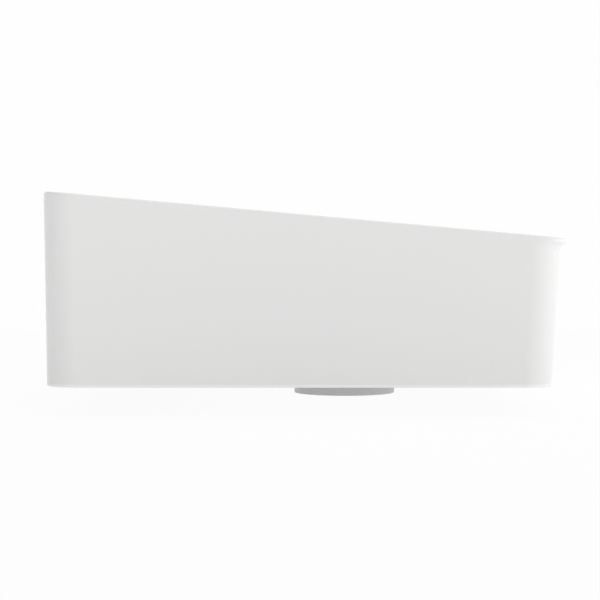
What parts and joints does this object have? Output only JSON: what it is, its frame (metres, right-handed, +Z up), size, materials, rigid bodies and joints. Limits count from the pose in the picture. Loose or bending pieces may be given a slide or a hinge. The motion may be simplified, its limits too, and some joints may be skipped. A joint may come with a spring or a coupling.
{
  "type": "cabinet-top basin",
  "caption": "Rectangular ceramic basin for a cabinet top, with a rim that slopes to the front, a tap ledge, an overflow and a push-open waste.",
  "frame": {"origin": "middle of the foot's underside, the face that stands on the cabinet top", "axes": "+Z up, -Y the low front, +X the user's right when facing the back from the front"},
  "size_m": [0.5, 0.4, 0.1711],
  "materials": {
    "glaze": "white glaze, high gloss, slightly soft edges",
    "chrome": "polished chrome plate",
    "rubber": "matt black rubber",
    "grey_plastic": "moulded light grey plastic, satin",
    "white_plastic": "moulded off-white plastic",
    "blue_plastic": "moulded blue plastic",
    "black_plastic": "moulded black plastic",
    "brass": "turned brass, bare",
    "steel": "stainless steel"
  },
  "bodies": {
    "basin": {"basin_body": "glaze", "overflow_ring": "chrome", "waste_body": "chrome", "flange_gasket": "rubber", "lower_gasket": "rubber", "slip_washer": "white_plastic", "clamp_disc": "grey_plastic", "back_nut": "brass", "cartridge_housing": "white_plastic", "cartridge_cap": "white_plastic", "cartridge_screw": "steel", "cartridge_spring": "steel"},
    "plug": {"plunger": "white_plastic", "plug_stud": "brass", "plug_core": "black_plastic", "plug_seal": "rubber", "plug_cap": "chrome"},
    "indexer": {"index_ring": "blue_plastic"}
  },
  "joints": [
    {"name": "plug_slide", "type": "slide", "parent": "basin", "child": "plug", "axis": [0, 0, 1], "range_m": [0, 0.009], "deforming": ["cartridge_spring"]},
    {"name": "index_turn", "type": "hinge", "parent": "basin", "child": "indexer", "pos_m": [0, -0.035, 0.0157], "axis": [0, 0, 1], "range_deg": [0, 22.5]}
  ],
  "couplings": [
    {"joint": "index_turn", "follows": "plug_slide", "rad_per_m": 43.6}
  ]
}
